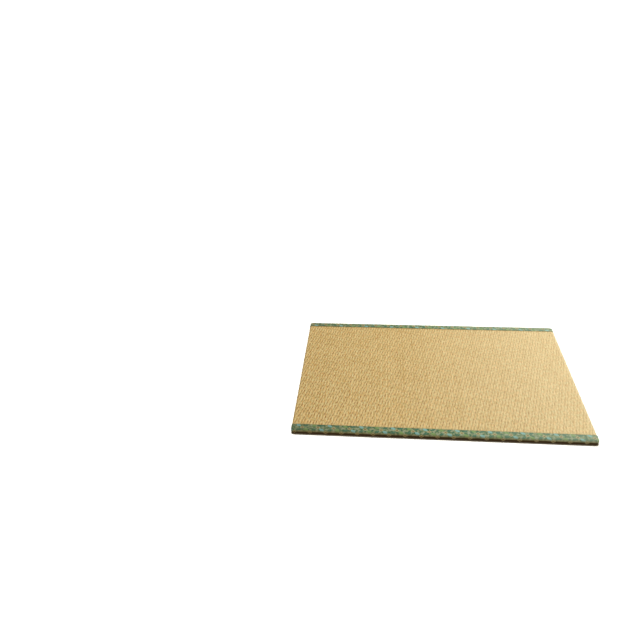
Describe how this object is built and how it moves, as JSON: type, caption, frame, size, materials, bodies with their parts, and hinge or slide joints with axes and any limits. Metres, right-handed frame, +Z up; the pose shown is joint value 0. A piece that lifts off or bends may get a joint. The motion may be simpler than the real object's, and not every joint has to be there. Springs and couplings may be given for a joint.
{
  "type": "tatami mat",
  "caption": "Flat woven rush floor mat on a firm board, with rounded bare ends and a patterned cloth binding wrapped round each long side.",
  "frame": {"origin": "on the floor under the middle of the mat", "axes": "+X along the mat's length, +Y across it towards the back binding, +Z up"},
  "size_m": [1.35, 0.9, 0.025],
  "materials": {
    "woven_rush": "dry straw-coloured rush weave, satin on the stems",
    "binding_cloth": "matt green figured cloth with teal, olive and ochre motifs"
  },
  "bodies": {
    "root": {"rush_mat_body": "woven_rush", "front_binding": "binding_cloth", "back_binding": "binding_cloth"}
  },
  "joints": []
}
